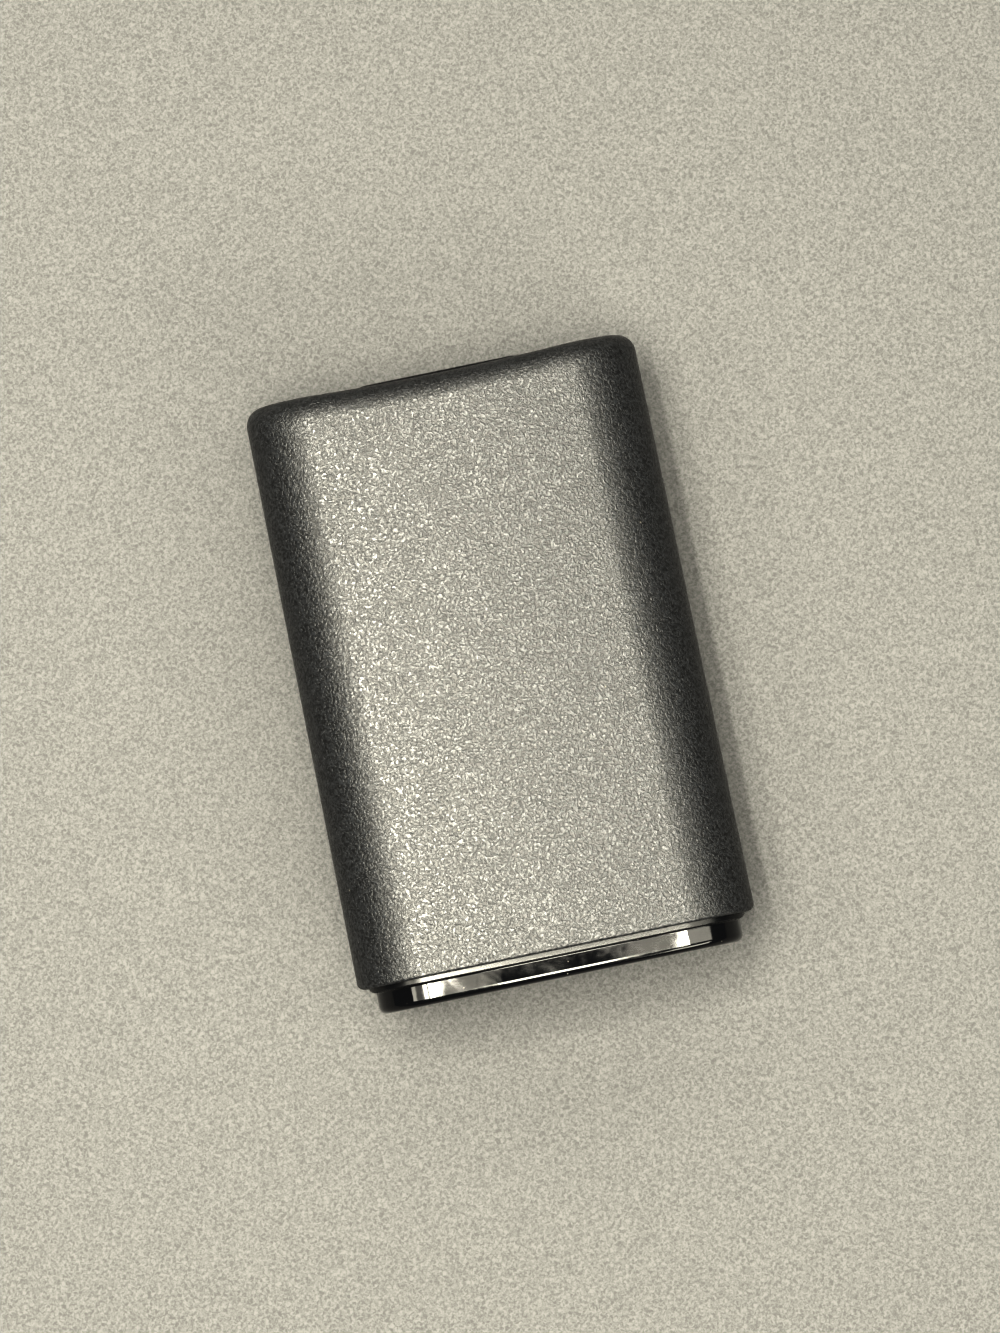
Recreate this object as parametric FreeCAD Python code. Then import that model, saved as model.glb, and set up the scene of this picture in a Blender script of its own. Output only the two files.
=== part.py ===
import FreeCAD, Part
import math
import os

from FreeCAD import Vector

# Battery pack that clips into the back of a hand-held game controller and carries two AA cells.
# It lies as it is put down on a table: outer cover up, open cell bay down, tail towards -Y, latch towards +Y.
# Origin: middle of the pack's bounding box, on the plane that the tray's rim rests on.
# Units: millimetres and degrees.

# Cells
cell_diameter = 14.5
cell_length = 50.5
cell_edge_chamfer = 0.5
nub_diameter = 5.4
nub_height = 1.3
cell_rest_gap = 0.6

# Contacts
contact_thickness = 0.4
contact_height = 10.4
contact_edge_gap = 0.15
contact_corner_chamfer = 1.2
dimple_radius = 1.9
dimple_height = 0.8
touch_gap = 0.03
spring_height = 3.6
spring_wire = 0.55
spring_base_diameter = 7.6
spring_tip_diameter = 4.4
spring_turns = 3.0
spring_closed_turns = 0.5
terminal_foot_width = 5.6
terminal_foot_reach = 2.0
terminal_bend_radius = 0.4
terminal_foot_clearance = 0.9

# Cell tray
cell_clearance = 0.2
divider_thickness = 0.7
divider_depth = 9.0
bay_wall = 1.25
bay_end_wall = 1.4
trough_floor = 1.2
bay_corner_radius = 1.6
thumb_notch_width = 27.0
thumb_notch_depth = 4.0
shelf_height = 2.2
shelf_margin = 1.2

# Outer cover
side_space = 6.0
top_gap = 1.7
latch_space = 3.9
tail_space = 1.2
cover_wall = 1.8
rim_height = 8.0
rim_wall = 1.0
rim_rebate_height = 1.6
rim_edge_chamfer = 0.3
crown_radius = 300.0
shoulder_radius = 8.5
side_draft = 1.5
latch_end_hollow = 0.9
latch_end_lean = 5.0
latch_top_radius = 3.4
latch_corner_radius = 2.0
tail_edge_chamfer = 0.2
tail_corner_radius = 1.2
tail_rebate_length = 2.5

# Tail of the tray, which hooks under the controller's shell
fit_clearance = 0.12
collar_reach = 0.6
lip_reach = 3.0
lip_inset = 1.9
lip_wall = 1.4
lip_edge_radius = 0.8

# Release latch
latch_pivot_depth = 2.9
latch_bar_radius = 0.9
latch_bar_clearance = 0.05
latch_arm_thickness = 1.2
latch_arm_width = 22.4
latch_arm_foot = 3.0
latch_neck_width = 15.6
latch_shoulder_drop = 1.9
latch_side_gap = 0.4
lug_width = 2.3
lug_rim = 1.4
pad_width = 19.2
pad_height = 4.6
pad_drop = 1.7
pad_proud = 0.9
pad_corner_radius = 1.5
pad_edge_chamfer = 0.4
pad_gap = 0.4
hook_width = 5.0
hook_spread = 15.0
hook_height = 2.6
hook_reach = 1.4
hook_lip = 0.6

# Sizes that follow from the ones above
trough_radius = cell_diameter / 2 + cell_clearance
cell_pitch = 2 * trough_radius + divider_thickness
cell_axis_height = cell_rest_gap + cell_diameter / 2
bay_half_width = cell_pitch / 2 + trough_radius
bay_length = cell_length + 2 * contact_thickness + dimple_height + spring_height + 2 * touch_gap
bay_top = cell_axis_height + trough_radius + trough_floor
tray_half_width = bay_half_width + bay_wall
half_width = tray_half_width + side_space
pack_height = bay_top + top_gap + cover_wall
cover_length = tail_space + 2 * bay_end_wall + bay_length + latch_space + cover_wall
latch_pivot_height = pack_height - cover_wall - latch_pivot_depth
latch_end_arc = (half_width**2 + latch_end_hollow**2) / (2 * latch_end_hollow)
end_lean = math.tan(math.radians(latch_end_lean))
corner_arc = latch_end_arc - (latch_pivot_height - rim_height) * end_lean + latch_corner_radius
corner_depth = math.sqrt(corner_arc**2 - (half_width - latch_corner_radius)**2)
corner_reach = latch_end_arc - corner_depth + latch_corner_radius
pack_length = corner_reach + cover_length + lip_reach

latch_end_y = pack_length / 2 - corner_reach
pad_face_y = latch_end_y + pad_proud
tail_y = latch_end_y - cover_length
lip_end_y = tail_y - lip_reach
bay_latch_y = latch_end_y - cover_wall - latch_space - bay_end_wall
bay_tail_y = bay_latch_y - bay_length
tray_latch_y = bay_latch_y + bay_end_wall
tray_tail_y = bay_tail_y - bay_end_wall

collar_inset = rim_wall + fit_clearance
pad_top = latch_pivot_height - pad_drop
latch_pivot_y = latch_end_y - cover_wall - latch_bar_clearance - latch_bar_radius
FAR = 2 * pack_length
NEAR = 0.01
OVERCUT = 1.0
SPRING_STEPS = 8

X_AXIS = Vector(1, 0, 0)
Y_AXIS = Vector(0, 1, 0)
Z_AXIS = Vector(0, 0, 1)


# Geometry helpers

def block(x, y, z):
    """Box between pairs of limits."""
    size = [high - low for low, high in (x, y, z)]
    return Part.makeBox(*size, Vector(x[0], y[0], z[0]))


def rounded_block(x, y, z, radius, axis):
    """Box whose four edges along `axis` are rounded."""
    box = block(x, y, z)
    return box.makeFillet(radius, edges_along(box, axis))


def edges_along(shape, axis):
    """Edges that run along an axis."""
    return [e for e in shape.Edges if e.tangentAt(e.FirstParameter).cross(axis).Length < NEAR]


def rod(radius, start, direction, length):
    """Cylinder from a point along a direction."""
    return Part.makeCylinder(radius, length, start, direction)


def polygon_prism(points, direction):
    """Straight-sided outline, extruded."""
    return Part.Face(Part.makePolygon(points + points[:1])).extrude(direction)


def joined(first, *others):
    """Pieces fused into one solid with no seams left."""
    return first.fuse(list(others)).removeSplitter()


def mirrored(shape):
    """The same shape on the other side of the pack's middle plane."""
    return shape.mirror(Vector(0, 0, 0), X_AXIS)


def opposite(point):
    """The same point on the other side of the pack's middle plane."""
    return Vector(-point.x, point.y, point.z)


def edges_in_slab(shape, axis, low, high):
    """Edges whose bounding box lies between two planes across an axis."""
    def limits(edge):
        box = edge.BoundBox
        return {"x": (box.XMin, box.XMax), "y": (box.YMin, box.YMax), "z": (box.ZMin, box.ZMax)}[axis]
    return [e for e in shape.Edges if limits(e)[0] > low and limits(e)[1] < high]


# Cover form: a D-shaped section with drafted sides, round shoulders and a gently crowned top

def shoulder_frame():
    """Shoulder centre, the side's inward normal, and the direction in which crown and shoulder meet."""
    draft = math.radians(side_draft)
    inward = Vector(-math.cos(draft), 0, -math.sin(draft))
    upward = Vector(-math.sin(draft), 0, math.cos(draft))
    crown_centre = Vector(0, 0, pack_height - crown_radius)
    start = Vector(half_width, 0, rim_height) + inward * shoulder_radius
    arm = start - crown_centre
    along = arm.dot(upward)
    reach = crown_radius - shoulder_radius
    centre = start + upward * (math.sqrt(along**2 - arm.dot(arm) + reach**2) - along)
    return centre, inward, (centre - crown_centre).normalize()


def cover_section(inset, bottom, y):
    """Face across the pack: the cover's outline taken in by `inset`, down to the height `bottom`."""
    centre, inward, meeting = shoulder_frame()
    radius = shoulder_radius - inset
    side = centre - inward * radius
    crown_end = Vector(0, 0, pack_height - crown_radius) + meeting * (crown_radius - inset)
    halfway = centre + (meeting - inward).normalize() * radius
    foot = Vector(side.x + (side.z - bottom) * math.tan(math.radians(side_draft)), 0, bottom)
    top = Vector(0, 0, pack_height - inset)
    edges = [
        Part.LineSegment(foot, side).toShape(),
        Part.Arc(side, halfway, crown_end).toShape(),
        Part.Arc(crown_end, top, opposite(crown_end)).toShape(),
        Part.Arc(opposite(crown_end), opposite(halfway), opposite(side)).toShape(),
        Part.LineSegment(opposite(side), opposite(foot)).toShape(),
        Part.LineSegment(opposite(foot), foot).toShape(),
    ]
    face = Part.Face(Part.Wire(edges))
    face.translate(Vector(0, y, 0))
    return face


def cover_form(inset, bottom, start_y):
    """Solid of the cover's outer form taken in by `inset`, from `start_y` to its hollowed latch end."""
    overrun = corner_reach + latch_top_radius
    prism = cover_section(inset, bottom, start_y).extrude(Y_AXIS * (latch_end_y + overrun - start_y))
    low, high = bottom - OVERCUT, pack_height + OVERCUT
    radii = [latch_end_arc + inset + (z - latch_pivot_height) * end_lean for z in (low, high)]
    arc_centre = Vector(0, latch_end_y + latch_end_arc, low)
    return prism.cut(Part.makeCone(*radii, high - low, arc_centre, Z_AXIS))


def latch_end_edges(form, inset):
    """Edges round a form's latch-end face, apart from those along the pack and those in a level plane."""
    edges = edges_in_slab(form, "y", latch_end_y - inset - latch_top_radius, FAR)
    return [e for e in edges if e.BoundBox.ZLength > NEAR]


def end_edges(form, y):
    """Edges of a form's flat end at `y`, apart from the straight one along its bottom."""
    edges = edges_in_slab(form, "y", y - NEAR, y + NEAR)
    return [e for e in edges if e.BoundBox.ZMax > rim_height + NEAR]


def rim_plate(inset, bottom, top, start_y):
    """Level slab of the cover's form between two heights, with its latch-end corners rounded in plan."""
    slab = block((-FAR, FAR), (-FAR, FAR), (bottom, top))
    plate = cover_form(inset, bottom - OVERCUT, start_y).common(slab)
    return plate.makeFillet(latch_corner_radius - inset, latch_end_edges(plate, inset))


def rounded_latch_end(form):
    """The cover's form with its latch end rounded, tightly at both sides and more softly across the top."""
    halfway_up = shoulder_frame()[0].z + shoulder_radius / 2

    def radius_at(edge, parameter):
        return latch_top_radius if edge.valueAt(parameter).z > halfway_up else latch_corner_radius
    chosen = latch_end_edges(form, 0)
    radii = []
    for number, edge in enumerate(form.Edges, start=1):
        if any(edge.isSame(other) for other in chosen):
            radii.append((number, radius_at(edge, edge.FirstParameter), radius_at(edge, edge.LastParameter)))
    workbench = FreeCAD.newDocument("rounding")
    base = workbench.addObject("Part::Feature", "form")
    base.Shape = form
    rounding = workbench.addObject("Part::Fillet", "rounded_form")
    rounding.Base = base
    rounding.Edges = radii
    workbench.recompute()
    rounded = rounding.Shape.copy()
    FreeCAD.closeDocument(workbench.Name)
    return rounded


def tail_rounding(inset, y, radius):
    """The two slivers outside the rounded plan corners at a tail face, to be cut away."""
    side = half_width - inset
    corner = block((side - radius, half_width), (y - radius, y + radius), (-FAR, FAR))
    keep = rod(radius, Vector(side - radius, y + radius, -FAR), Z_AXIS, 2 * FAR)
    sliver = corner.cut(keep)
    return sliver.fuse(mirrored(sliver))


# Outer cover

def outer_cover():
    """Moulded shell: open below and at the tail, with a rebate for the tray and a notch for the latch pad."""
    form = rounded_latch_end(cover_form(0, rim_height, tail_y))
    shell = softened_edges(form).cut(tail_rounding(0, tail_y, tail_corner_radius))
    below, behind = rim_height - OVERCUT, tail_y - OVERCUT
    shell = shell.cut(cover_form(cover_wall, below, behind))
    shell = shell.cut(rim_plate(rim_wall, below, rim_height + rim_rebate_height, behind))
    tail_rebate = cover_section(rim_wall, below, behind).extrude(Y_AXIS * (OVERCUT + tail_rebate_length))
    return shell.cut(tail_rebate).cut(pad_notch()).removeSplitter()


def softened_edges(form):
    """Narrow chamfers where the cover meets the controller: across the tail and round the rim below."""
    form = form.makeChamfer(tail_edge_chamfer, end_edges(form, tail_y))
    rim = [
        e for e in edges_in_slab(form, "z", rim_height - NEAR, rim_height + NEAR)
        if e.BoundBox.YMax > tail_y + tail_corner_radius
    ]
    return form.makeChamfer(rim_edge_chamfer, rim)


def pad_notch():
    """Opening in the cover's latch end that the press pad stands in."""
    side = pad_width / 2 + pad_gap
    y = (latch_end_y - cover_wall - latch_end_hollow, FAR)
    return rounded_block(
        (-side, side), y, (rim_height - pad_height, pad_top + pad_gap), pad_corner_radius + pad_gap, Y_AXIS
    ).fuse(block((-side, side), y, (rim_height - pad_height, rim_height + pad_corner_radius)))


# Cell tray

def cell_tray():
    """Moulded tray: flange inside the cover's rim, cell bay, tail lip, and seats for contacts and latch."""
    body = joined(tray_flange(), bay_block(), tail_shell(), contact_shelf(), *latch_lugs())
    for cutter in (bay_hollow(), *contact_slots(), thumb_notches(), *foot_slots(), latch_opening()):
        body = body.cut(cutter)
    return body.removeSplitter()


def tray_flange():
    """Plate that closes the cover from below, seated against the step of its rebate."""
    top = rim_height + rim_rebate_height
    collar_y = tail_y - collar_reach
    plate = rim_plate(collar_inset, rim_height, top, collar_y)
    tail_start = lip_end_y + lip_wall / 2
    tail = cover_section(lip_inset, rim_height, tail_start).extrude(Y_AXIS * (bay_tail_y - tail_start))
    tail = tail.common(block((-FAR, FAR), (-FAR, FAR), (rim_height, top)))
    return plate.cut(tail_rounding(collar_inset, collar_y, tail_corner_radius)).fuse(tail)


def bay_block():
    """Outside of the cell bay before it is hollowed."""
    x = (-tray_half_width, tray_half_width)
    return rounded_block(x, (tray_tail_y, tray_latch_y), (0, bay_top), bay_corner_radius, Z_AXIS)


def bay_hollow():
    """Two round-topped troughs, open below, with a divider left between them."""
    y = (bay_tail_y, bay_latch_y)
    divider_foot = cell_axis_height + trough_radius - divider_depth
    hollow = block((-bay_half_width, bay_half_width), y, (-OVERCUT, divider_foot))
    for x in (-cell_pitch / 2, cell_pitch / 2):
        trough = rod(trough_radius, Vector(x, bay_tail_y, cell_axis_height), Y_AXIS, bay_length)
        throat = block((x - trough_radius, x + trough_radius), y, (-OVERCUT, cell_axis_height))
        hollow = hollow.fuse([trough, throat])
    return hollow


def tail_shell():
    """Arched tail: a collar inside the cover's open end, and the lip that hooks under the shell."""
    collar_y = tail_y - collar_reach
    collar = cover_section(collar_inset, rim_height, collar_y).extrude(
        Y_AXIS * (collar_reach + tail_rebate_length)
    )
    collar = collar.cut(tail_rounding(collar_inset, collar_y, tail_corner_radius))
    lip = cover_section(lip_inset, rim_height, lip_end_y).extrude(Y_AXIS * (lip_reach + tail_rebate_length))
    lip = lip.makeFillet(lip_edge_radius, end_edges(lip, lip_end_y))
    inside = cover_section(lip_inset + lip_wall, rim_height, lip_end_y + lip_wall).extrude(Y_AXIS * FAR)
    return collar.fuse(lip).cut(inside)


def contact_shelf():
    """Ledge outside the bay's tail wall that backs the two contact feet."""
    bottom = terminal_foot_clearance + contact_thickness
    side = cell_pitch / 2 + terminal_foot_width / 2 + shelf_margin
    y = (tray_tail_y - terminal_foot_reach - touch_gap, tray_tail_y + bay_end_wall / 2)
    return block((-side, side), y, (bottom, bottom + shelf_height))


def contact_slots():
    """Square-topped slots at both ends of the bay; the round troughs in front of them hold the plates in."""
    depth = contact_thickness + contact_edge_gap
    z = (-OVERCUT, cell_axis_height + contact_height / 2 + contact_edge_gap)
    bridge = block((-bay_half_width, bay_half_width), (bay_latch_y - depth, bay_latch_y), z)
    tail = block((divider_thickness / 2, bay_half_width), (bay_tail_y, bay_tail_y + depth), z)
    return bridge, tail, mirrored(tail)


def thumb_notches():
    """Shallow arcs cut up into both long walls so that a cell can be pushed out."""
    radius = (thumb_notch_width**2 / 4 + thumb_notch_depth**2) / (2 * thumb_notch_depth)
    middle_y = (bay_tail_y + bay_latch_y) / 2
    start = Vector(-FAR, middle_y, thumb_notch_depth - radius)
    arc = rod(radius, start, X_AXIS, 2 * FAR)
    divider = block((-bay_half_width, bay_half_width), (-FAR, FAR), (-FAR, FAR))
    return arc.cut(divider)


def foot_slots():
    """Gaps below the bay's tail wall that the contact feet pass through, deeper where each foot bends."""
    half = terminal_foot_width / 2 + contact_edge_gap
    top = terminal_foot_clearance + contact_thickness + touch_gap
    bend_y = bay_tail_y - terminal_bend_radius - touch_gap
    slots = []
    for middle in (-cell_pitch / 2, cell_pitch / 2):
        x = (middle - half, middle + half)
        slots.append(block(x, (-FAR, bay_tail_y), (-OVERCUT, top)))
        slots.append(block(x, (bend_y, bay_tail_y), (-OVERCUT, top + terminal_bend_radius)))
    return slots


def latch_lugs():
    """Two lugs on the bay's latch wall, each slotted for the latch's root bar and closed by the cover."""
    inner = latch_neck_width / 2 + latch_side_gap
    slot_radius = latch_bar_radius + latch_bar_clearance
    half_height = slot_radius + lug_rim / 2
    z = (latch_pivot_height - half_height, latch_pivot_height + half_height)
    end_y = latch_end_y - cover_wall - fit_clearance - half_height * end_lean
    lug = block((inner, inner + lug_width), (tray_latch_y - bay_end_wall / 2, end_y), z)
    seat = rod(slot_radius, Vector(0, latch_pivot_y, latch_pivot_height), X_AXIS, FAR)
    mouth = block(
        (0, FAR), (latch_pivot_y, FAR), (latch_pivot_height - slot_radius, latch_pivot_height + slot_radius)
    )
    lug = lug.cut(seat.fuse(mouth))
    return lug, mirrored(lug)


def latch_opening():
    """Cut-out in the flange that the latch arm swings in."""
    side = latch_arm_width / 2 + latch_side_gap
    return block((-side, side), (tray_latch_y, FAR), (0, rim_height + rim_rebate_height))


# Release latch

def release_latch():
    """Moulded latch: root bar, flexing arm, press pad outside and two hooks below."""
    outer_y = latch_pivot_y + latch_arm_thickness / 2
    inner_y = outer_y - latch_arm_thickness
    neck, arm = latch_neck_width / 2, latch_arm_width / 2
    shoulder = latch_pivot_height - latch_shoulder_drop
    outline = [
        Vector(-neck, inner_y, latch_pivot_height),
        Vector(-neck, inner_y, shoulder),
        Vector(-arm, inner_y, shoulder),
        Vector(-arm, inner_y, latch_arm_foot),
        Vector(arm, inner_y, latch_arm_foot),
        Vector(arm, inner_y, shoulder),
        Vector(neck, inner_y, shoulder),
        Vector(neck, inner_y, latch_pivot_height),
    ]
    plate = polygon_prism(outline, Y_AXIS * latch_arm_thickness)
    bar_half = neck + latch_side_gap + lug_width
    bar = rod(latch_bar_radius, Vector(-bar_half, latch_pivot_y, latch_pivot_height), X_AXIS, 2 * bar_half)
    hooks = [latch_hook(x, outer_y) for x in (-hook_spread / 2, hook_spread / 2)]
    return joined(plate, bar, press_pad(outer_y), *hooks)


def press_pad(root_y):
    """Rounded pad that a finger pushes, standing out through the cover's notch."""
    half = pad_width / 2
    pad = rounded_block(
        (-half, half), (root_y - latch_arm_thickness / 2, pad_face_y), (pad_top - pad_height, pad_top),
        pad_corner_radius, Y_AXIS
    )
    return pad.makeChamfer(pad_edge_chamfer, edges_in_slab(pad, "y", pad_face_y - NEAR, pad_face_y + NEAR))


def latch_hook(x, root_y):
    """Catch with a flat ledge on top and a ramp below."""
    foot = latch_arm_foot
    points = [
        Vector(x - hook_width / 2, root_y - latch_arm_thickness / 2, foot),
        Vector(x - hook_width / 2, root_y, foot),
        Vector(x - hook_width / 2, root_y + hook_reach, foot + hook_height - hook_lip),
        Vector(x - hook_width / 2, root_y + hook_reach, foot + hook_height),
        Vector(x - hook_width / 2, root_y - latch_arm_thickness / 2, foot + hook_height),
    ]
    return polygon_prism(points, X_AXIS * hook_width)


# Contacts, springs and cells

def contact_plate(x_low, x_high, face_y, inward):
    """Flat stamped plate against a bay end wall; `inward` is +1 or -1 along Y, towards the cells."""
    y = sorted((face_y, face_y + inward * contact_thickness))
    z = (cell_axis_height - contact_height / 2, cell_axis_height + contact_height / 2)
    plate = block((x_low, x_high), y, z)
    return plate.makeChamfer(contact_corner_chamfer, edges_along(plate, Y_AXIS))


def dimpled(plate, x, face_y, inward):
    """Plate with the raised contact point that meets a cell's nub."""
    start = Vector(x, face_y, cell_axis_height)
    return joined(plate, rod(dimple_radius, start, Y_AXIS * inward, contact_thickness + dimple_height))


def bridge_contact():
    """Plate at the latch end that links one cell's base with the other cell's nub."""
    side = bay_half_width - contact_edge_gap
    plate = contact_plate(-side, side, bay_latch_y, -1)
    return dimpled(plate, cell_pitch / 2, bay_latch_y, -1)


def terminal(x):
    """Plate at the tail with a strip folded out under the wall, where it faces the controller's contacts."""
    inner = divider_thickness / 2 + contact_edge_gap
    outer = bay_half_width - contact_edge_gap
    low, high = (inner, outer) if x > 0 else (-outer, -inner)
    plate = contact_plate(low, high, bay_tail_y, 1)
    return joined(plate, terminal_foot(x))


def terminal_foot(x):
    """Strip from a terminal plate, bent through a right angle round the foot of the bay's tail wall."""
    bend = terminal_bend_radius
    inside_z = terminal_foot_clearance + contact_thickness
    face_y = bay_tail_y
    end_y = tray_tail_y - terminal_foot_reach
    top_z = cell_axis_height
    left = x - terminal_foot_width / 2
    corner = Vector(left, face_y - bend, inside_z + bend)
    def at(radius, angle):
        return corner + Vector(0, radius * math.cos(angle), radius * math.sin(angle))
    outside = bend + contact_thickness
    start, halfway, end = 0, -math.pi / 4, -math.pi / 2
    back_top = Vector(left, face_y, top_z)
    front_top = Vector(left, face_y + contact_thickness, top_z)
    tip_above = Vector(left, end_y, inside_z)
    tip_below = Vector(left, end_y, terminal_foot_clearance)
    profile = [
        Part.LineSegment(back_top, at(bend, start)).toShape(),
        Part.Arc(at(bend, start), at(bend, halfway), at(bend, end)).toShape(),
        Part.LineSegment(at(bend, end), tip_above).toShape(),
        Part.LineSegment(tip_above, tip_below).toShape(),
        Part.LineSegment(tip_below, at(outside, end)).toShape(),
        Part.Arc(at(outside, end), at(outside, halfway), at(outside, start)).toShape(),
        Part.LineSegment(at(outside, start), front_top).toShape(),
        Part.LineSegment(front_top, back_top).toShape(),
    ]
    return Part.Face(Part.Wire(profile)).extrude(X_AXIS * terminal_foot_width)


def positive_terminal():
    """Terminal with the dimple that meets the left cell's nub."""
    x = -cell_pitch / 2
    return dimpled(terminal(x), x, bay_tail_y, 1)


def negative_terminal():
    """Plain terminal behind the right cell's spring."""
    return terminal(cell_pitch / 2)


def cone_spring(x, face_y, inward):
    """Tapered coil between a contact plate and a cell's base, its end turns closed."""
    wire = spring_wire / 2
    rise = spring_height - spring_wire
    base, tip = spring_base_diameter / 2 - wire, spring_tip_diameter / 2 - wire
    start = Vector(x, face_y + inward * (contact_thickness + touch_gap + wire), cell_axis_height)
    sections = []
    for step in range(round(spring_turns * SPRING_STEPS) + 1):
        turn = step / SPRING_STEPS
        climb = (turn - spring_closed_turns) / (spring_turns - 2 * spring_closed_turns)
        along = Y_AXIS * (inward * rise * min(max(climb, 0), 1))
        angle = 2 * math.pi * turn
        outward = Vector(math.cos(angle), 0, math.sin(angle))
        centre = start + along + outward * (base + (tip - base) * turn / spring_turns)
        sections.append(wire_section(centre, outward, wire))
    return Part.makeLoft(sections, True, True)


def wire_section(centre, outward, radius):
    """Six-sided section of a spring's wire, flat towards the plates."""
    corners = []
    for side in range(6):
        angle = math.pi * side / 3
        corners.append(centre + outward * (radius * math.cos(angle)) + Y_AXIS * (radius * math.sin(angle)))
    return Part.makePolygon(corners + corners[:1])


def cell_upright():
    """Sealed AA cell, standing on its base with the nub up."""
    radius, nub = cell_diameter / 2, nub_diameter / 2
    shoulder = cell_length - nub_height
    outline = [
        Vector(0, 0, 0),
        Vector(radius - cell_edge_chamfer, 0, 0),
        Vector(radius, 0, cell_edge_chamfer),
        Vector(radius, 0, shoulder - cell_edge_chamfer),
        Vector(radius - cell_edge_chamfer, 0, shoulder),
        Vector(nub, 0, shoulder),
        Vector(nub, 0, cell_length),
        Vector(0, 0, cell_length),
    ]
    return Part.Face(Part.makePolygon(outline + outline[:1])).revolve(Vector(0, 0, 0), Z_AXIS, 360)


def laid_in(shape, x, nub_towards_latch):
    """A standing cell, laid in its trough with the nub at its dimple."""
    turned = shape.copy()
    turned.rotate(Vector(0, 0, 0), X_AXIS, -90 if nub_towards_latch else 90)
    inset = contact_thickness + dimple_height + touch_gap
    nub_y = bay_latch_y - inset if nub_towards_latch else bay_tail_y + inset
    base_y = nub_y - cell_length if nub_towards_latch else nub_y + cell_length
    turned.translate(Vector(x, base_y, cell_axis_height))
    return turned


def main():
    """Builds every piece and writes one STEP file for each."""
    left, right = -cell_pitch / 2, cell_pitch / 2
    pieces = {
        "outer_cover": outer_cover(),
        "cell_tray": cell_tray(),
        "release_latch": release_latch(),
        "bridge_contact": bridge_contact(),
        "bridge_spring": cone_spring(left, bay_latch_y, -1),
        "positive_terminal": positive_terminal(),
        "negative_terminal": negative_terminal(),
        "negative_spring": cone_spring(right, bay_tail_y, 1),
        "left_cell": laid_in(cell_upright(), left, False),
        "right_cell": laid_in(cell_upright(), right, True),
    }
    os.makedirs("parts", exist_ok=True)
    for name, shape in pieces.items():
        box = shape.BoundBox
        print(f"{name}: valid {shape.isValid()}, solids {len(shape.Solids)}, volume {shape.Volume:.1f} mm3, "
              f"x {box.XMin:.2f} {box.XMax:.2f}, y {box.YMin:.2f} {box.YMax:.2f}, z {box.ZMin:.2f} {box.ZMax:.2f}")
        shape.exportStep(f"parts/{name}.step")
    print(f"pack: {2 * half_width:.2f} x {pack_length:.2f} x {pack_height:.2f} mm, cover {cover_length:.2f} mm long")


main()
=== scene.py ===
import logging
import math
from dataclasses import dataclass
from enum import Enum
from typing import Any, ClassVar, Sequence

import bpy
from mathutils import Matrix, Vector


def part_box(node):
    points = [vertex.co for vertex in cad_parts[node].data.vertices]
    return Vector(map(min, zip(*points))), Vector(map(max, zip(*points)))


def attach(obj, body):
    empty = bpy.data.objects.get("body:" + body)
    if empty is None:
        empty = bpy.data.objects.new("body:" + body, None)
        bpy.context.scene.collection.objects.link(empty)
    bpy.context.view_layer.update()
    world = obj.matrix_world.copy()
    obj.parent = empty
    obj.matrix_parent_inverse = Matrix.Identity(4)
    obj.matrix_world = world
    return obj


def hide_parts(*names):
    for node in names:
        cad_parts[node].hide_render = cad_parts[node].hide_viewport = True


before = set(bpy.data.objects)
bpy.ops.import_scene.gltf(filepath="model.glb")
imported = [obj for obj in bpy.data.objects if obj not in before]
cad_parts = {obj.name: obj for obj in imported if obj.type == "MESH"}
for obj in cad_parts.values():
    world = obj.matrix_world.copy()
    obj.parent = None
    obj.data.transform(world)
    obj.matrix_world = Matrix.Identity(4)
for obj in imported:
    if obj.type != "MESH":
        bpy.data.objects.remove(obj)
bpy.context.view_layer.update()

# Battery pack for a hand-held game controller, dressed for rendering. It lies open side down, as it was put down.
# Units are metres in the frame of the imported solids: +Y towards the latch end, +Z up through the outer cover.
# Sizes in the classes are in millimetres, unless a name ends in _m.

MM = 0.001
LOG = logging.getLogger("battery_pack")

ABS_IOR = 1.54
POLYESTER_IOR = 1.57
EVEN = (1.0, 1.0, 1.0)  # a pattern that isn't stretched
PATTERN_TURN = (-75.0, -35.3, 45.0)  # degrees about X, Y and Z
PATTERN_ROUGHNESS = 0.6
PATTERN_WARP = 0.7
MERGE_MM = 0.002  # corners of facets that are nearer than this become one point
FLAT_DEGREES = 0.5  # facets that meet at less than this become one face


class Facing(Enum):
    """Which end of the pack a piece points to, as a sign along Y."""

    LATCH = 1
    TAIL = -1


# Shader nodes

def linear(hex_colour: str) -> tuple[float, float, float, float]:
    """Turns an sRGB hex colour into linear values.

    Args:
        hex_colour: Six hex digits after a hash sign.

    Returns:
        Linear red, green and blue, and an alpha of 1.
    """
    parts = [int(hex_colour[i:i + 2], 16) / 255 for i in (1, 3, 5)]
    red, green, blue = (c / 12.92 if c <= 0.04045 else ((c + 0.055) / 1.055) ** 2.4 for c in parts)
    return red, green, blue, 1.0


def add_node(tree: bpy.types.NodeTree, kind: str, settings: dict[str, Any] | None = None,
             links: dict[str, bpy.types.NodeSocket] | None = None) -> bpy.types.Node:
    """Adds one shader node.

    Args:
        tree: Node tree that takes it.
        kind: The node's type, without the leading "ShaderNode".
        settings: Values by the name of an input socket, or of an attribute.
        links: Output sockets by the name of the input that each feeds.

    Returns:
        The new node.
    """
    node = tree.nodes.new("ShaderNode" + kind)
    for name, value in (settings or {}).items():
        if name in node.inputs:
            node.inputs[name].default_value = value
        else:
            setattr(node, name, value)
    for name, socket in (links or {}).items():
        tree.links.new(socket, node.inputs[name])
    return node


def spans(source: tuple[float, float], target: tuple[float, float]) -> dict[str, float]:
    """Settings that map the two ends of a source range on to the two values of a target."""
    return {"From Min": source[0], "From Max": source[1], "To Min": target[0], "To Max": target[1]}


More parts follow.
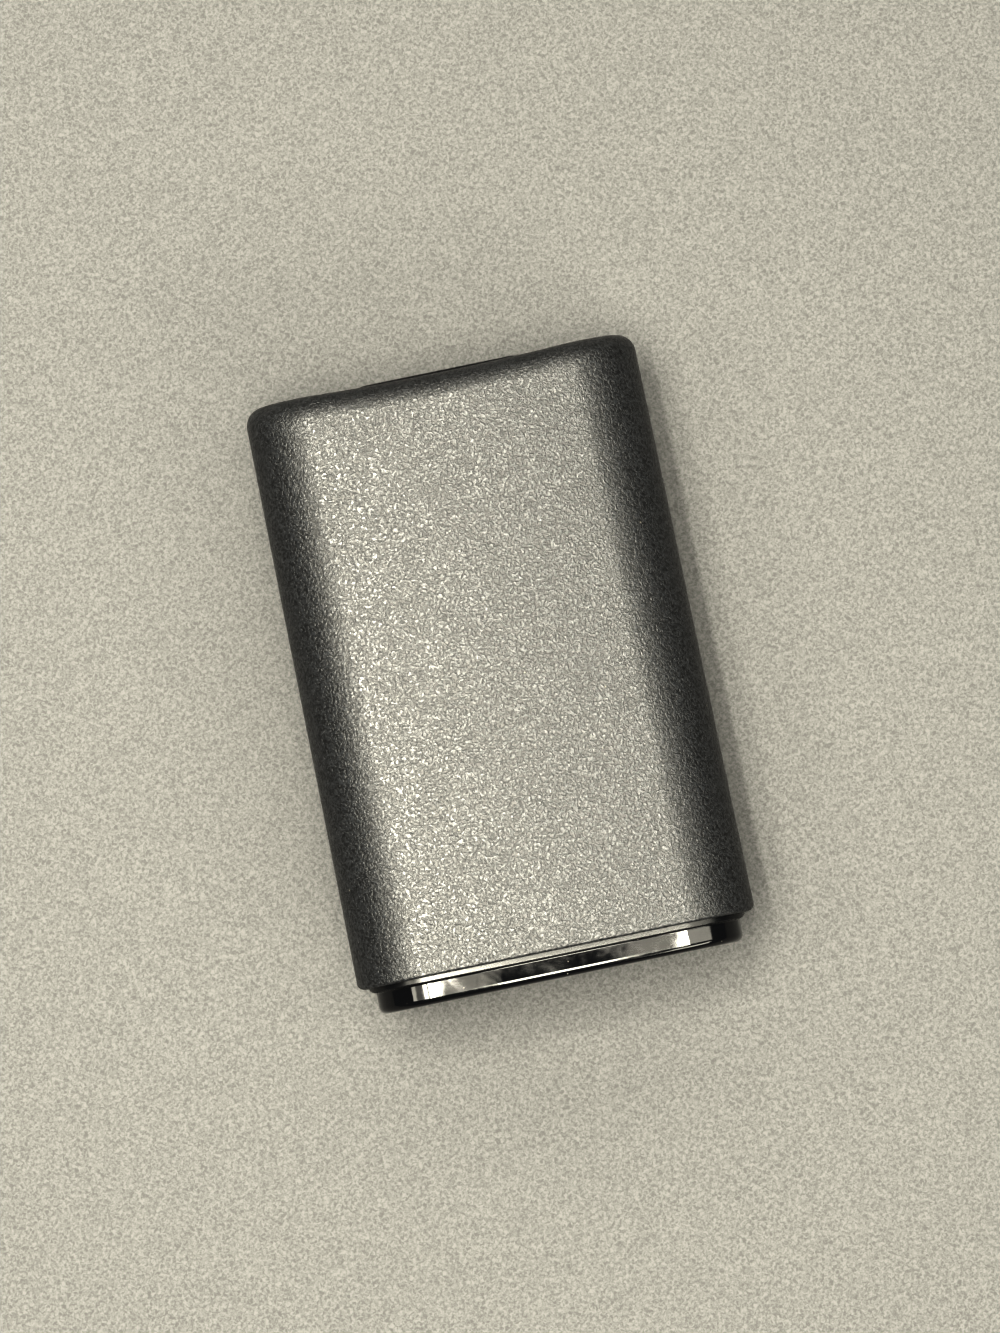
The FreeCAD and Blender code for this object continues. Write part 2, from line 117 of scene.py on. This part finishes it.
@dataclass(frozen=True)
class Finish:
    """A material of the pack, made from nodes on Object coordinates."""

    name: str

    def material(self) -> bpy.types.Material:
        """Makes the material, or finds it where another piece already has it.

        Returns:
            The material with its nodes linked.
        """
        if self.name in bpy.data.materials:
            return bpy.data.materials[self.name]
        material = bpy.data.materials.new(self.name)
        material.use_nodes = True
        tree = material.node_tree
        tree.nodes.clear()
        shader = add_node(tree, "BsdfPrincipled")
        add_node(tree, "OutputMaterial", links={"Surface": shader.outputs["BSDF"]})
        place = add_node(tree, "TexCoord").outputs["Object"]
        self.dress(tree, shader, place)
        return material

    def dress(self, tree: bpy.types.NodeTree, shader: bpy.types.Node, place: bpy.types.NodeSocket) -> None:
        """Sets the shader's sockets and links its patterns.

        Args:
            tree: The material's node tree.
            shader: Its Principled shader.
            place: Object coordinates.
        """
        raise NotImplementedError

    @staticmethod
    def mottle(tree: bpy.types.NodeTree, place: bpy.types.NodeSocket, size_mm: float, detail: float,
               stretch: tuple[float, float, float] = EVEN) -> bpy.types.NodeSocket:
        """Lays a cloudy pattern through the material.

        Args:
            tree: The material's node tree.
            place: Object coordinates.
            size_mm: Size of its features.
            detail: How many finer layers it has.
            stretch: How many times longer the features are along each axis.

        Returns:
            A socket that wanders about one half.
        """
        # An even pattern is turned so that no flat face or shoulder lies along its own grid, where it would fade.
        # A stretched one keeps to the piece's axes.
        turn = PATTERN_TURN if stretch == EVEN else (0.0, 0.0, 0.0)
        grid = add_node(tree, "Mapping", {"vector_type": "TEXTURE", "Rotation": tuple(math.radians(a) for a in turn),
                                          "Scale": tuple(s * size_mm * MM for s in stretch)}, {"Vector": place})
        look = {"Scale": 1.0, "Detail": detail, "Roughness": PATTERN_ROUGHNESS, "Distortion": PATTERN_WARP}
        return add_node(tree, "TexNoise", look, {"Vector": grid.outputs["Vector"]}).outputs["Fac"]

    @staticmethod
    def specks(tree: bpy.types.NodeTree, place: bpy.types.NodeSocket, spacing_mm: float,
               radius_mm: float) -> bpy.types.NodeSocket:
        """Scatters small round specks of dust.

        Args:
            tree: The material's node tree.
            place: Object coordinates.
            spacing_mm: Mean distance between specks, in the body of the material.
            radius_mm: Radius of the largest speck.

        Returns:
            A socket that is 1 on a speck and 0 elsewhere.
        """
        dots = add_node(tree, "TexVoronoi", {"Scale": 1 / (spacing_mm * MM)}, {"Vector": place})
        edge = radius_mm / spacing_mm
        core = edge / 2
        speck = add_node(tree, "MapRange", spans((edge, core), (0.0, 1.0)), {"Value": dots.outputs["Distance"]})
        return speck.outputs["Result"]

    @staticmethod
    def join(tree: bpy.types.NodeTree, shader: bpy.types.Node, colour: bpy.types.Node, gloss: bpy.types.Node,
             height: bpy.types.NodeSocket, depth_mm: float) -> None:
        """Links a finish's patterns to its shader.

        Args:
            tree: The material's node tree.
            shader: Its Principled shader.
            colour: Node that gives the base colour.
            gloss: Node that gives the roughness.
            height: What the bump follows.
            depth_mm: How far the surface rises where the height goes from 0 to 1.
        """
        bump = add_node(tree, "Bump", {"Strength": 1.0, "Distance": depth_mm * MM}, {"Height": height})
        tree.links.new(colour.outputs["Color"], shader.inputs["Base Color"])
        tree.links.new(gloss.outputs["Result"], shader.inputs["Roughness"])
        tree.links.new(bump.outputs["Normal"], shader.inputs["Normal"])


@dataclass(frozen=True)
class SparkErodedAbs(Finish):
    """ABS moulded in a spark-eroded tool: black, with a fine matte grain that spreads a broad soft highlight."""

    colour: str = "#020203"
    # The grain's peaks are painted lighter than its pits: a painted highlight on the peaks and painted shade in the
    # pits.
    peak_highlight_colour: str = "#27282a"
    dust_colour: str = "#4a4843"
    pit_roughness: float = 0.46
    peak_roughness: float = 0.30
    grain_mm: float = 0.31  # drawn coarser than the tool's own grain of about 0.1 mm, as it reads in the photograph
    grain_detail: float = 2.5
    grain_depth_mm: float = 0.041
    gloss_range: tuple[float, float] = (0.38, 0.58)
    peak_highlight_range: tuple[float, float] = (0.42, 0.66)
    lump_range: tuple[float, float] = (0.38, 0.62)
    dust_spacing_mm: float = 5.0
    dust_radius_mm: float = 0.15

    def dress(self, tree: bpy.types.NodeTree, shader: bpy.types.Node, place: bpy.types.NodeSocket) -> None:
        """Sets the shader's sockets and links its patterns.

        Args:
            tree: The material's node tree.
            shader: Its Principled shader.
            place: Object coordinates.
        """
        shader.inputs["IOR"].default_value = ABS_IOR
        grain = self.mottle(tree, place, self.grain_mm, self.grain_detail)
        shine = spans(self.gloss_range, (self.pit_roughness, self.peak_roughness))
        gloss = add_node(tree, "MapRange", shine, {"Value": grain})
        # Painted highlight on the grain's peaks and painted shade in its pits, following the bump's height.
        highlit_peaks = add_node(tree, "MapRange", spans(self.peak_highlight_range, (0.0, 1.0)), {"Value": grain})
        lumps = add_node(tree, "MapRange", spans(self.lump_range, (0.0, 1.0)), {"Value": grain})
        colours = {"Color1": linear(self.colour), "Color2": linear(self.peak_highlight_colour)}
        painted_grain_light = add_node(tree, "MixRGB", colours, {"Fac": highlit_peaks.outputs["Result"]})
        # Real dust specks are laid over the painted highlight and shade of the grain.
        speck = self.specks(tree, place, self.dust_spacing_mm, self.dust_radius_mm)
        dusty = add_node(tree, "MixRGB", {"Color2": linear(self.dust_colour)},
                         {"Fac": speck, "Color1": painted_grain_light.outputs["Color"]})
        self.join(tree, shader, dusty, gloss, lumps.outputs["Result"], self.grain_depth_mm)


@dataclass(frozen=True)
class SmoothAbs(Finish):
    """ABS moulded in a smooth tool: deep black, satin, and polished to a clear reflection where the tool is.

    The polished end is smudged and dusty from handling.
    """

    colour: str = "#070708"
    dust_colour: str = "#6f6c66"
    specular: float = 0.4
    satin: float = 0.24
    polish: float = 0.04
    smudge: float = 0.13
    smudge_mm: float = 3.5
    smudge_detail: float = 4.0
    smudge_range: tuple[float, float] = (0.40, 0.72)
    ripple_mm: float = 2.2
    ripple_detail: float = 1.0
    ripple_depth_mm: float = 0.01
    dust_spacing_mm: float = 1.6
    dust_radius_mm: float = 0.09
    polished_to_mm: float = -100.0  # along the pack; beyond this the surface is satin
    polish_end_mm: float = 0.05  # length over which the polish turns to satin

    def dress(self, tree: bpy.types.NodeTree, shader: bpy.types.Node, place: bpy.types.NodeSocket) -> None:
        """Sets the shader's sockets and links its patterns.

        Args:
            tree: The material's node tree.
            shader: Its Principled shader.
            place: Object coordinates.
        """
        shader.inputs["IOR"].default_value = ABS_IOR
        shader.inputs["Specular IOR Level"].default_value = self.specular
        touched = self.mottle(tree, place, self.smudge_mm, self.smudge_detail)
        smudged = spans(self.smudge_range, (self.polish, self.polish + self.smudge))
        clear = add_node(tree, "MapRange", smudged, {"Value": touched})
        rubbed = spans(self.smudge_range, (self.satin, self.satin + self.smudge / 2))
        plain = add_node(tree, "MapRange", rubbed, {"Value": touched})
        along = add_node(tree, "SeparateXYZ", links={"Vector": place}).outputs["Y"]
        limits = {"From Min": self.polished_to_mm * MM, "From Max": (self.polished_to_mm + self.polish_end_mm) * MM}
        gloss = add_node(tree, "MapRange", limits,
                         {"Value": along, "To Min": clear.outputs["Result"], "To Max": plain.outputs["Result"]})
        speck = self.specks(tree, place, self.dust_spacing_mm, self.dust_radius_mm)
        colours = {"Color1": linear(self.colour), "Color2": linear(self.dust_colour)}
        dusty = add_node(tree, "MixRGB", colours, {"Fac": speck})
        ripple = self.mottle(tree, place, self.ripple_mm, self.ripple_detail)
        self.join(tree, shader, dusty, gloss, ripple, self.ripple_depth_mm)


@dataclass(frozen=True)
class NickelPlate(Finish):
    """Nickel-plated steel, rolled or drawn: warm grey metal with fine lines along its length and dull patches."""

    colour: str = "#d3cfc6"
    dull_colour: str = "#a89f90"
    stretch: tuple[float, float, float] = (30.0, 1.0, 1.0)
    line_mm: float = 0.08
    line_detail: float = 1.0
    line_depth_mm: float = 0.003
    patch_mm: float = 2.4
    patch_detail: float = 3.0
    gloss_range: tuple[float, float] = (0.35, 0.7)
    roughness: tuple[float, float] = (0.22, 0.40)
    dull_range: tuple[float, float] = (0.45, 0.75)
    dull_share: tuple[float, float] = (0.0, 0.6)

    def dress(self, tree: bpy.types.NodeTree, shader: bpy.types.Node, place: bpy.types.NodeSocket) -> None:
        """Sets the shader's sockets and links its patterns.

        Args:
            tree: The material's node tree.
            shader: Its Principled shader.
            place: Object coordinates.
        """
        shader.inputs["Metallic"].default_value = 1.0
        lines = self.mottle(tree, place, self.line_mm, self.line_detail, self.stretch)
        patch = self.mottle(tree, place, self.patch_mm, self.patch_detail)
        gloss = add_node(tree, "MapRange", spans(self.gloss_range, self.roughness), {"Value": patch})
        dull = add_node(tree, "MapRange", spans(self.dull_range, self.dull_share), {"Value": patch})
        colours = {"Color1": linear(self.colour), "Color2": linear(self.dull_colour)}
        colour = add_node(tree, "MixRGB", colours, {"Fac": dull.outputs["Result"]})
        self.join(tree, shader, colour, gloss, lines, self.line_depth_mm)


@dataclass(frozen=True)
class ShrunkFilm(Finish):
    """Polyester film printed grey and shrunk on a cell: satin, with slight waves and a darker band at the nub."""

    colour: str = "#8d9196"
    band_colour: str = "#2a2c2f"
    band_from_mm: float = 10.0
    band_to_mm: float = 10.2
    patch_mm: float = 3.0
    patch_detail: float = 3.0
    gloss_range: tuple[float, float] = (0.35, 0.7)
    roughness: tuple[float, float] = (0.20, 0.32)
    wave_mm: float = 1.6
    wave_detail: float = 1.0
    wave_stretch: tuple[float, float, float] = (1.0, 4.0, 1.0)
    wave_depth_mm: float = 0.02

    def dress(self, tree: bpy.types.NodeTree, shader: bpy.types.Node, place: bpy.types.NodeSocket) -> None:
        """Sets the shader's sockets and links its patterns.

        Args:
            tree: The material's node tree.
            shader: Its Principled shader.
            place: Object coordinates.
        """
        shader.inputs["IOR"].default_value = POLYESTER_IOR
        along = add_node(tree, "SeparateXYZ", links={"Vector": place}).outputs["Y"]
        edge = spans((self.band_from_mm * MM, self.band_to_mm * MM), (0.0, 1.0))
        band = add_node(tree, "MapRange", edge, {"Value": along})
        colours = {"Color1": linear(self.colour), "Color2": linear(self.band_colour)}
        colour = add_node(tree, "MixRGB", colours, {"Fac": band.outputs["Result"]})
        patch = self.mottle(tree, place, self.patch_mm, self.patch_detail)
        gloss = add_node(tree, "MapRange", spans(self.gloss_range, self.roughness), {"Value": patch})
        wave = self.mottle(tree, place, self.wave_mm, self.wave_detail, self.wave_stretch)
        self.join(tree, shader, colour, gloss, wave, self.wave_depth_mm)


# Shaping

@dataclass(frozen=True)
class Rounding:
    """Sharp edges inside a box, and the radius that they get; sharpness is in degrees."""

    radius: float
    low: tuple[float, float, float] = (-50.0, -50.0, -50.0)
    high: tuple[float, float, float] = (50.0, 50.0, 50.0)
    sharpness: float = 35.0
    segments: int = 3

    def holds(self, point: Vector) -> bool:
        """Whether a point in metres lies in the box."""
        return all(low <= part / MM <= high for low, part, high in zip(self.low, point, self.high))


def only(piece: bpy.types.Object) -> None:
    """Makes a piece the one selected and active object.

    Args:
        piece: What the next operator acts on.
    """
    bpy.ops.object.select_all(action="DESELECT")
    piece.select_set(True)
    bpy.context.view_layer.objects.active = piece


def shaped(piece: bpy.types.Object, kind: str, **settings: Any) -> None:
    """Adds a modifier to a piece and applies it.

    Args:
        piece: What is shaped.
        kind: The modifier's type.
        settings: Its settings by name.
    """
    only(piece)
    modifier = piece.modifiers.new(kind.lower(), kind)
    for name, value in settings.items():
        setattr(modifier, name, value)
    bpy.ops.object.modifier_apply(modifier=modifier.name)


def merged_copy(node: str) -> bpy.types.Object:
    """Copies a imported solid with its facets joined, ready for its edges to be rounded.

    Args:
        node: The solid's name.

    Returns:
        The copy.
    """
    piece = bpy.data.objects.new(node + "_copy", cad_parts[node].data.copy())
    bpy.context.collection.objects.link(piece)
    only(piece)
    bpy.ops.object.mode_set(mode="EDIT")
    bpy.ops.mesh.select_all(action="SELECT")
    bpy.ops.mesh.remove_doubles(threshold=MERGE_MM * MM)
    bpy.ops.mesh.customdata_custom_splitnormals_clear()
    bpy.ops.mesh.dissolve_limited(angle_limit=math.radians(FLAT_DEGREES))
    bpy.ops.object.mode_set(mode="OBJECT")
    return piece


def round_edges(piece: bpy.types.Object, rule: Rounding) -> None:
    """Rounds the sharp edges that a rule names.

    Args:
        piece: What is rounded.
        rule: Which edges, and how far.
    """
    only(piece)
    bpy.ops.object.mode_set(mode="EDIT")
    bpy.ops.mesh.select_mode(type="EDGE")
    bpy.ops.mesh.select_all(action="DESELECT")
    bpy.ops.mesh.edges_select_sharp(sharpness=math.radians(rule.sharpness))
    bpy.ops.object.mode_set(mode="OBJECT")
    inside = [rule.holds(vertex.co) for vertex in piece.data.vertices]
    for edge in piece.data.edges:
        edge.select = edge.select and all(inside[end] for end in edge.vertices)
    for face in piece.data.polygons:
        face.select = False
    bpy.ops.object.mode_set(mode="EDIT")
    bpy.ops.mesh.bevel(offset=rule.radius * MM, segments=rule.segments, affect="EDGES", clamp_overlap=False)
    bpy.ops.object.mode_set(mode="OBJECT")


def smooth(piece: bpy.types.Object, angle: float = 35.0) -> None:
    """Shades a piece smooth up to an angle between faces, with flat faces kept flat.

    Args:
        piece: What is shaded.
        angle: Degrees above which an edge stays sharp.
    """
    only(piece)
    bpy.ops.object.shade_smooth_by_angle(angle=math.radians(angle))
    shaped(piece, "WEIGHTED_NORMAL", keep_sharp=True)


def turned(stations: Sequence[tuple[float, float]], closed: bool, sides: int = 64) -> bpy.types.Object:
    """Builds a round piece about +Z: a circle, extruded and resized from station to station.

    Args:
        stations: Radius and height of each ring, in millimetres, in order along the outside.
        closed: Whether both ends have a face.
        sides: Points in each ring.

    Returns:
        The new piece.
    """
    radius, height = stations[0]
    bpy.ops.object.select_all(action="DESELECT")
    bpy.ops.mesh.primitive_circle_add(vertices=sides, radius=radius * MM, fill_type="NGON" if closed else "NOTHING",
                                      location=(0, 0, height * MM))
    piece = bpy.context.object
    bpy.ops.object.mode_set(mode="EDIT")
    bpy.ops.mesh.select_all(action="SELECT")
    for next_radius, next_height in stations[1:]:
        rise = {"value": (0, 0, (next_height - height) * MM)}
        if closed:
            bpy.ops.mesh.extrude_region_move(TRANSFORM_OT_translate=rise)
        else:
            bpy.ops.mesh.extrude_edges_move(TRANSFORM_OT_translate=rise)
        growth = next_radius / radius
        bpy.ops.transform.resize(value=(growth, growth, 1), center_override=(0, 0, next_height * MM))
        radius, height = next_radius, next_height
    bpy.ops.mesh.select_all(action="SELECT")
    bpy.ops.mesh.normals_make_consistent(inside=False)
    bpy.ops.object.mode_set(mode="OBJECT")
    return piece


def laid(piece: bpy.types.Object, foot: Vector, facing: Facing) -> None:
    """Lays an upright piece along the pack and settles its place into its mesh.

    Args:
        piece: What is laid, built about +Z from the origin.
        foot: Where its origin goes, in metres.
        facing: Which end of the pack its top points to.
    """
    only(piece)
    turn = Matrix.Rotation(math.radians(-90 * facing.value), 4, "X")
    piece.matrix_world = Matrix.Translation(foot) @ turn @ piece.matrix_world
    bpy.ops.object.transform_apply(location=True, rotation=True, scale=True)


def hand_over(piece: bpy.types.Object, name: str, body: str, finish: Finish, replaced: str) -> None:
    """Names and paints a finished piece, and ties it to its body and solid.

    Args:
        piece: The finished piece.
        name: Its name.
        body: The body it moves with.
        finish: What it is made of.
        replaced: The solid that it stands for, or "" for none.
    """
    piece.name = piece.data.name = name
    piece.data.materials.clear()
    piece.data.materials.append(finish.material())
    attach(piece, body)
    if replaced:
        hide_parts(replaced)
    LOG.info("%s: %d faces in %s", name, len(piece.data.polygons), finish.name)


# The pack

@dataclass
class Moulding:
    """A moulded or stamped piece: its solid, with the edges rounded that the tool leaves round."""

    node: str
    body: str
    slot: str
    finish: Finish
    roundings: tuple[Rounding, ...]

    def build(self) -> bpy.types.Object:
        """Copies the solid and rounds its edges.

        Returns:
            The rounded piece.
        """
        piece = merged_copy(self.node)
        for rule in self.roundings:
            round_edges(piece, rule)
        smooth(piece)
        return piece

    def dress(self, piece: bpy.types.Object) -> None:
        """Paints the piece and puts it in the solid's place."""
        hand_over(piece, self.node + "_moulded", self.body, self.finish, self.node)


@dataclass
class Cell:
    """An AA cell: plated steel can with a nub and a dished base, in a film sleeve that folds over both ends."""

    node: str
    facing: Facing
    film: Finish
    can: Finish
    film_thickness: float = 0.1

    # Radius and height of each ring, from the base to the nub.
    CAN: ClassVar[Sequence[tuple[float, float]]] = (
        (3.9, 0.12), (4.2, 0.10), (4.6, 0.0), (5.7, 0.0), (5.95, 0.06), (6.1, 0.25), (6.7, 0.28), (7.0, 0.5),
        (7.06, 0.9), (7.06, 48.0), (6.95, 48.4), (6.6, 48.62), (6.1, 48.66), (5.75, 48.6), (5.5, 48.35),
        (5.35, 48.3), (3.2, 48.3), (2.95, 48.36), (2.78, 48.55), (2.72, 48.8), (2.72, 50.1), (2.64, 50.32),
        (2.45, 50.45), (2.15, 50.5))
    SLEEVE: ClassVar[Sequence[tuple[float, float]]] = (
        (6.15, 0.14), (6.6, 0.12), (6.95, 0.2), (7.15, 0.42), (7.22, 0.7), (7.24, 1.0), (7.24, 47.9),
        (7.2, 48.3), (7.08, 48.56), (6.85, 48.74), (6.5, 48.82), (5.9, 48.8))

    def build(self) -> tuple[bpy.types.Object, bpy.types.Object]:
        """Turns the can and the sleeve and lays them in the trough.

        Returns:
            The can and the sleeve.
        """
        low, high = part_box(self.node)
        base = low.y if self.facing is Facing.LATCH else high.y
        foot = Vector(((low.x + high.x) / 2, base, (low.z + high.z) / 2))
        can = turned(self.CAN, closed=True)
        sleeve = turned(self.SLEEVE, closed=False)
        shaped(sleeve, "SOLIDIFY", thickness=self.film_thickness * MM, offset=-1.0)
        for piece in (can, sleeve):
            laid(piece, foot, self.facing)
            smooth(piece)
        return can, sleeve

    def dress(self, can: bpy.types.Object, sleeve: bpy.types.Object) -> None:
        """Paints both and puts the sleeve in the solid's place."""
        hand_over(can, self.node + "_can", "pack", self.can, "")
        hand_over(sleeve, self.node + "_sleeve", "pack", self.film, self.node)


@dataclass
class CoilSpring:
    """A tapered coil of round plated wire, its end turns closed, wide end on its contact plate."""

    node: str
    facing: Facing
    finish: Finish
    wire: float = 0.55
    base_diameter: float = 7.6
    tip_diameter: float = 4.4
    height: float = 3.6
    turns: int = 3
    closed_turns: float = 0.5
    steps: int = 48
    wire_resolution: int = 4
    axis_offset: float = 7.8  # from the pack's middle line to the cell's axis
    shading_angle: float = 60.0

    def build(self) -> bpy.types.Object:
        """Winds the wire, tapers it and lays it against its plate.

        Returns:
            The coil.
        """
        base, tip = (self.base_diameter - self.wire) / 2, (self.tip_diameter - self.wire) / 2
        bpy.ops.object.select_all(action="DESELECT")
        bpy.ops.mesh.primitive_plane_add(size=self.wire * MM)
        coil = bpy.context.object
        bpy.ops.object.mode_set(mode="EDIT")
        bpy.ops.mesh.select_all(action="SELECT")
        bpy.ops.mesh.merge(type="CENTER")
        bpy.ops.transform.translate(value=(base * MM, 0, 0))
        bpy.ops.object.mode_set(mode="OBJECT")
        shaped(coil, "SCREW", axis="Z", angle=math.tau, screw_offset=MM, iterations=self.turns, steps=self.steps,
               render_steps=self.steps)
        for vertex in coil.data.vertices:
            turn = vertex.co.z / MM
            climb = (turn - self.closed_turns) / (self.turns - 2 * self.closed_turns)
            taper = 1 + (tip / base - 1) * turn / self.turns
            rise = self.wire / 2 + (self.height - self.wire) * min(max(climb, 0), 1)
            vertex.co = Vector((vertex.co.x * taper, vertex.co.y * taper, rise * MM))
        only(coil)
        bpy.ops.object.convert(target="CURVE")
        coil.data.bevel_depth = self.wire / 2 * MM
        coil.data.bevel_resolution = self.wire_resolution
        coil.data.use_fill_caps = True
        bpy.ops.object.convert(target="MESH")
        low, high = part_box(self.node)
        side = 1 if low.x > 0 else -1
        plate = low.y if self.facing is Facing.LATCH else high.y
        laid(coil, Vector((side * self.axis_offset * MM, plate, (low.z + high.z) / 2)), self.facing)
        smooth(coil, self.shading_angle)
        return coil

    def dress(self, coil: bpy.types.Object) -> None:
        """Paints the coil and puts it in the solid's place."""
        hand_over(coil, self.node + "_wire", "pack", self.finish, self.node)


# Stage

@dataclass(frozen=True)
class Panel:
    """A level soft light.

    The reach is where its edges are, in degrees from straight above: left and right along X, then near and far
    along Y.
    """

    name: str
    reach: tuple[float, float, float, float]
    brightness: float
    colour: str = "#fffbed"


PANELS = (
    Panel("left_panel", (-12.6, -9.4, -22.0, 20.0), 184.0),
    Panel("left_outer_panel", (-23.5, -15.6, -22.0, 20.0), 48.0),
    Panel("left_inner_panel", (-9.4, -4.5, -22.0, 20.0), 9.0),
    Panel("left_side_panel", (-38.0, -23.5, -22.0, 20.0), 4.0),
    Panel("left_low_panel", (-46.0, -38.0, -22.0, 20.0), 15.0),
    Panel("far_panel", (-4.5, 4.5, 13.0, 23.0), 70.0),
    Panel("far_low_panel", (-50.0, 50.0, 38.0, 60.0), 7.0),
    Panel("near_panel", (-4.5, 4.5, -34.0, -6.0), 49.0),
    Panel("right_inner_panel", (4.5, 8.6, -22.0, 20.0), 9.0),
    Panel("right_panel", (8.6, 9.6, -22.0, 20.0), 118.0),
    Panel("right_side_panel", (9.6, 55.0, -13.0, 2.0), 11.0),
    Panel("right_near_panel", (9.6, 55.0, -60.0, -40.0), 18.0),
)


@dataclass
class Studio:
    """Floor, lights and camera; none of it belongs to the pack."""

    camera_place: tuple[float, float, float] = (0.0, -36.164, 341.296)
    camera_aim: tuple[float, float, float] = (0.191, 0.542, 10.085)
    camera_up: tuple[float, float, float] = (0.20175, 0.97373, 0.10559)
    focal_px: float = 2965.0
    photo_width_px: float = 1000.0
    sensor_width: float = 36.0
    nearest_m: float = 0.01
    floor_size_m: float = 3.0
    floor_colours: tuple[str, str] = ("#393939", "#4e4e4e")
    floor_roughness: float = 0.8
    fibre_mm: float = 0.34
    fibre_detail: float = 2.0
    fibre_range: tuple[float, float] = (0.35, 0.65)
    ceiling_m: float = 0.8
    room_colour: str = "#dbe4e8"
    room_strength: float = 0.4
    contrast: float = 0.6

    def build(self) -> None:
        """Makes the floor, the lights and the camera."""
        self.floor()
        for panel in PANELS:
            self.light(panel)
        self.world()
        self.camera()

    def floor(self) -> None:
        """Lays a plain sheet under the pack, with the faint mottle of uncoated board."""
        bpy.ops.object.select_all(action="DESELECT")
        bpy.ops.mesh.primitive_plane_add(size=self.floor_size_m, location=(0, 0, 0))
        sheet = bpy.context.object
        sheet.name = "floor"
        material = bpy.data.materials.new("uncoated_board_floor")
        material.use_nodes = True
        tree = material.node_tree
        shader = tree.nodes["Principled BSDF"]
        shader.inputs["Roughness"].default_value = self.floor_roughness
        place = add_node(tree, "TexCoord").outputs["Object"]
        fibre = Finish.mottle(tree, place, self.fibre_mm, self.fibre_detail)
        tone = add_node(tree, "MapRange", spans(self.fibre_range, (0.0, 1.0)), {"Value": fibre})
        dark, pale = (linear(colour) for colour in self.floor_colours)
        colour = add_node(tree, "MixRGB", {"Color1": dark, "Color2": pale}, {"Fac": tone.outputs["Result"]})
        tree.links.new(colour.outputs["Color"], shader.inputs["Base Color"])
        sheet.data.materials.append(material)

    def light(self, panel: Panel) -> None:
        """Hangs one soft panel, level, over the pack.

        Args:
            panel: Where it is and how bright.
        """
        left, right, near, far = (self.ceiling_m * math.tan(math.radians(a)) for a in panel.reach)
        bpy.ops.object.select_all(action="DESELECT")
        bpy.ops.object.light_add(type="AREA", location=((left + right) / 2, (near + far) / 2, self.ceiling_m))
        lamp = bpy.context.object
        lamp.name = panel.name
        lamp.data.shape = "RECTANGLE"
        lamp.data.size, lamp.data.size_y = right - left, far - near
        lamp.data.energy = panel.brightness * math.pi * (right - left) * (far - near)
        lamp.data.color = linear(panel.colour)[:3]

    def world(self) -> None:
        """Dim even light from all round, and the camera's contrast."""
        world = bpy.data.worlds.new("dim_room")
        world.use_nodes = True
        room = world.node_tree.nodes["Background"]
        room.inputs["Color"].default_value = linear(self.room_colour)
        room.inputs["Strength"].default_value = self.room_strength
        bpy.context.scene.world = world
        bpy.context.scene.view_settings.view_transform = "Standard"
        bpy.context.scene.view_settings.gamma = self.contrast

    def camera(self) -> None:
        """Stands the camera almost straight above, a little towards the tail."""
        place, aim = Vector(self.camera_place) * MM, Vector(self.camera_aim) * MM
        back = (place - aim).normalized()
        right = Vector(self.camera_up).cross(back).normalized()
        turn = Matrix((right, back.cross(right), back)).transposed()
        bpy.ops.object.select_all(action="DESELECT")
        bpy.ops.object.camera_add(location=place, rotation=turn.to_euler())
        camera = bpy.context.object
        camera.data.sensor_fit = "HORIZONTAL"
        camera.data.sensor_width = self.sensor_width
        camera.data.lens = self.sensor_width * self.focal_px / self.photo_width_px
        camera.data.clip_start = self.nearest_m
        bpy.context.scene.camera = camera


def main() -> None:
    """Builds the pack's pieces in order, then the studio."""
    logging.basicConfig(level=logging.INFO, format="%(message)s")
    matte = SparkErodedAbs("spark_eroded_black_abs")
    gloss = SmoothAbs("polished_black_abs", polished_to_mm=-32.62)
    satin = SmoothAbs("satin_black_abs")
    strip = NickelPlate("rolled_nickel_plated_strip")
    wire = NickelPlate("drawn_nickel_plated_wire", colour="#cbc7bf", stretch=EVEN)
    can = NickelPlate("deep_drawn_nickel_plated_steel", colour="#cfccc5", stretch=(1.0, 20.0, 1.0))
    left_film = ShrunkFilm("shrunk_grey_film_left", band_from_mm=-12.9, band_to_mm=-13.1)
    right_film = ShrunkFilm("shrunk_grey_film_right")
    # Each rounding's box holds only the edges that it is named for.
    tail_edge = Rounding(0.09, (-23, -31.93, 7.9), (23, -31.71, 20.1))
    pad_notch = Rounding(0.08, (-12, 31, 8.5), (12, 36, 13.4))
    collar_edge = Rounding(0.17, (-23, -32.53, 8.1), (23, -32.51, 20.1))
    rest_rim = Rounding(0.15, (-23, -35, -0.01), (23, 35, 0.01))
    bay_walls = Rounding(0.06, (-23, -30.5, -0.01), (23, 35, 7.0), 60.0)
    latch_arm = Rounding(0.12, high=(50, 50, 13.2), sharpness=60.0)
    press_pad = Rounding(0.12, low=(-50, 31.9, -50), sharpness=60.0)
    cut_edges = Rounding(0.06)
    mouldings = (
        Moulding("outer_cover", "pack", "cover_abs", matte, (tail_edge, pad_notch)),
        Moulding("cell_tray", "pack", "tray_abs", gloss, (collar_edge, rest_rim, bay_walls)),
        Moulding("release_latch", "latch", "latch_abs", satin, (latch_arm, press_pad)),
        Moulding("bridge_contact", "pack", "contact_nickel", strip, (cut_edges,)),
        Moulding("positive_terminal", "pack", "contact_nickel", strip, (cut_edges,)),
        Moulding("negative_terminal", "pack", "contact_nickel", strip, (cut_edges,)),
    )
    for moulding in mouldings:
        moulding.dress(moulding.build())
    springs = (CoilSpring("bridge_spring", Facing.TAIL, wire), CoilSpring("negative_spring", Facing.LATCH, wire))
    for spring in springs:
        spring.dress(spring.build())
    cells = (Cell("left_cell", Facing.TAIL, left_film, can), Cell("right_cell", Facing.LATCH, right_film, can))
    for cell in cells:
        cell.dress(*cell.build())
    Studio().build()


if __name__ == "__main__":
    main()
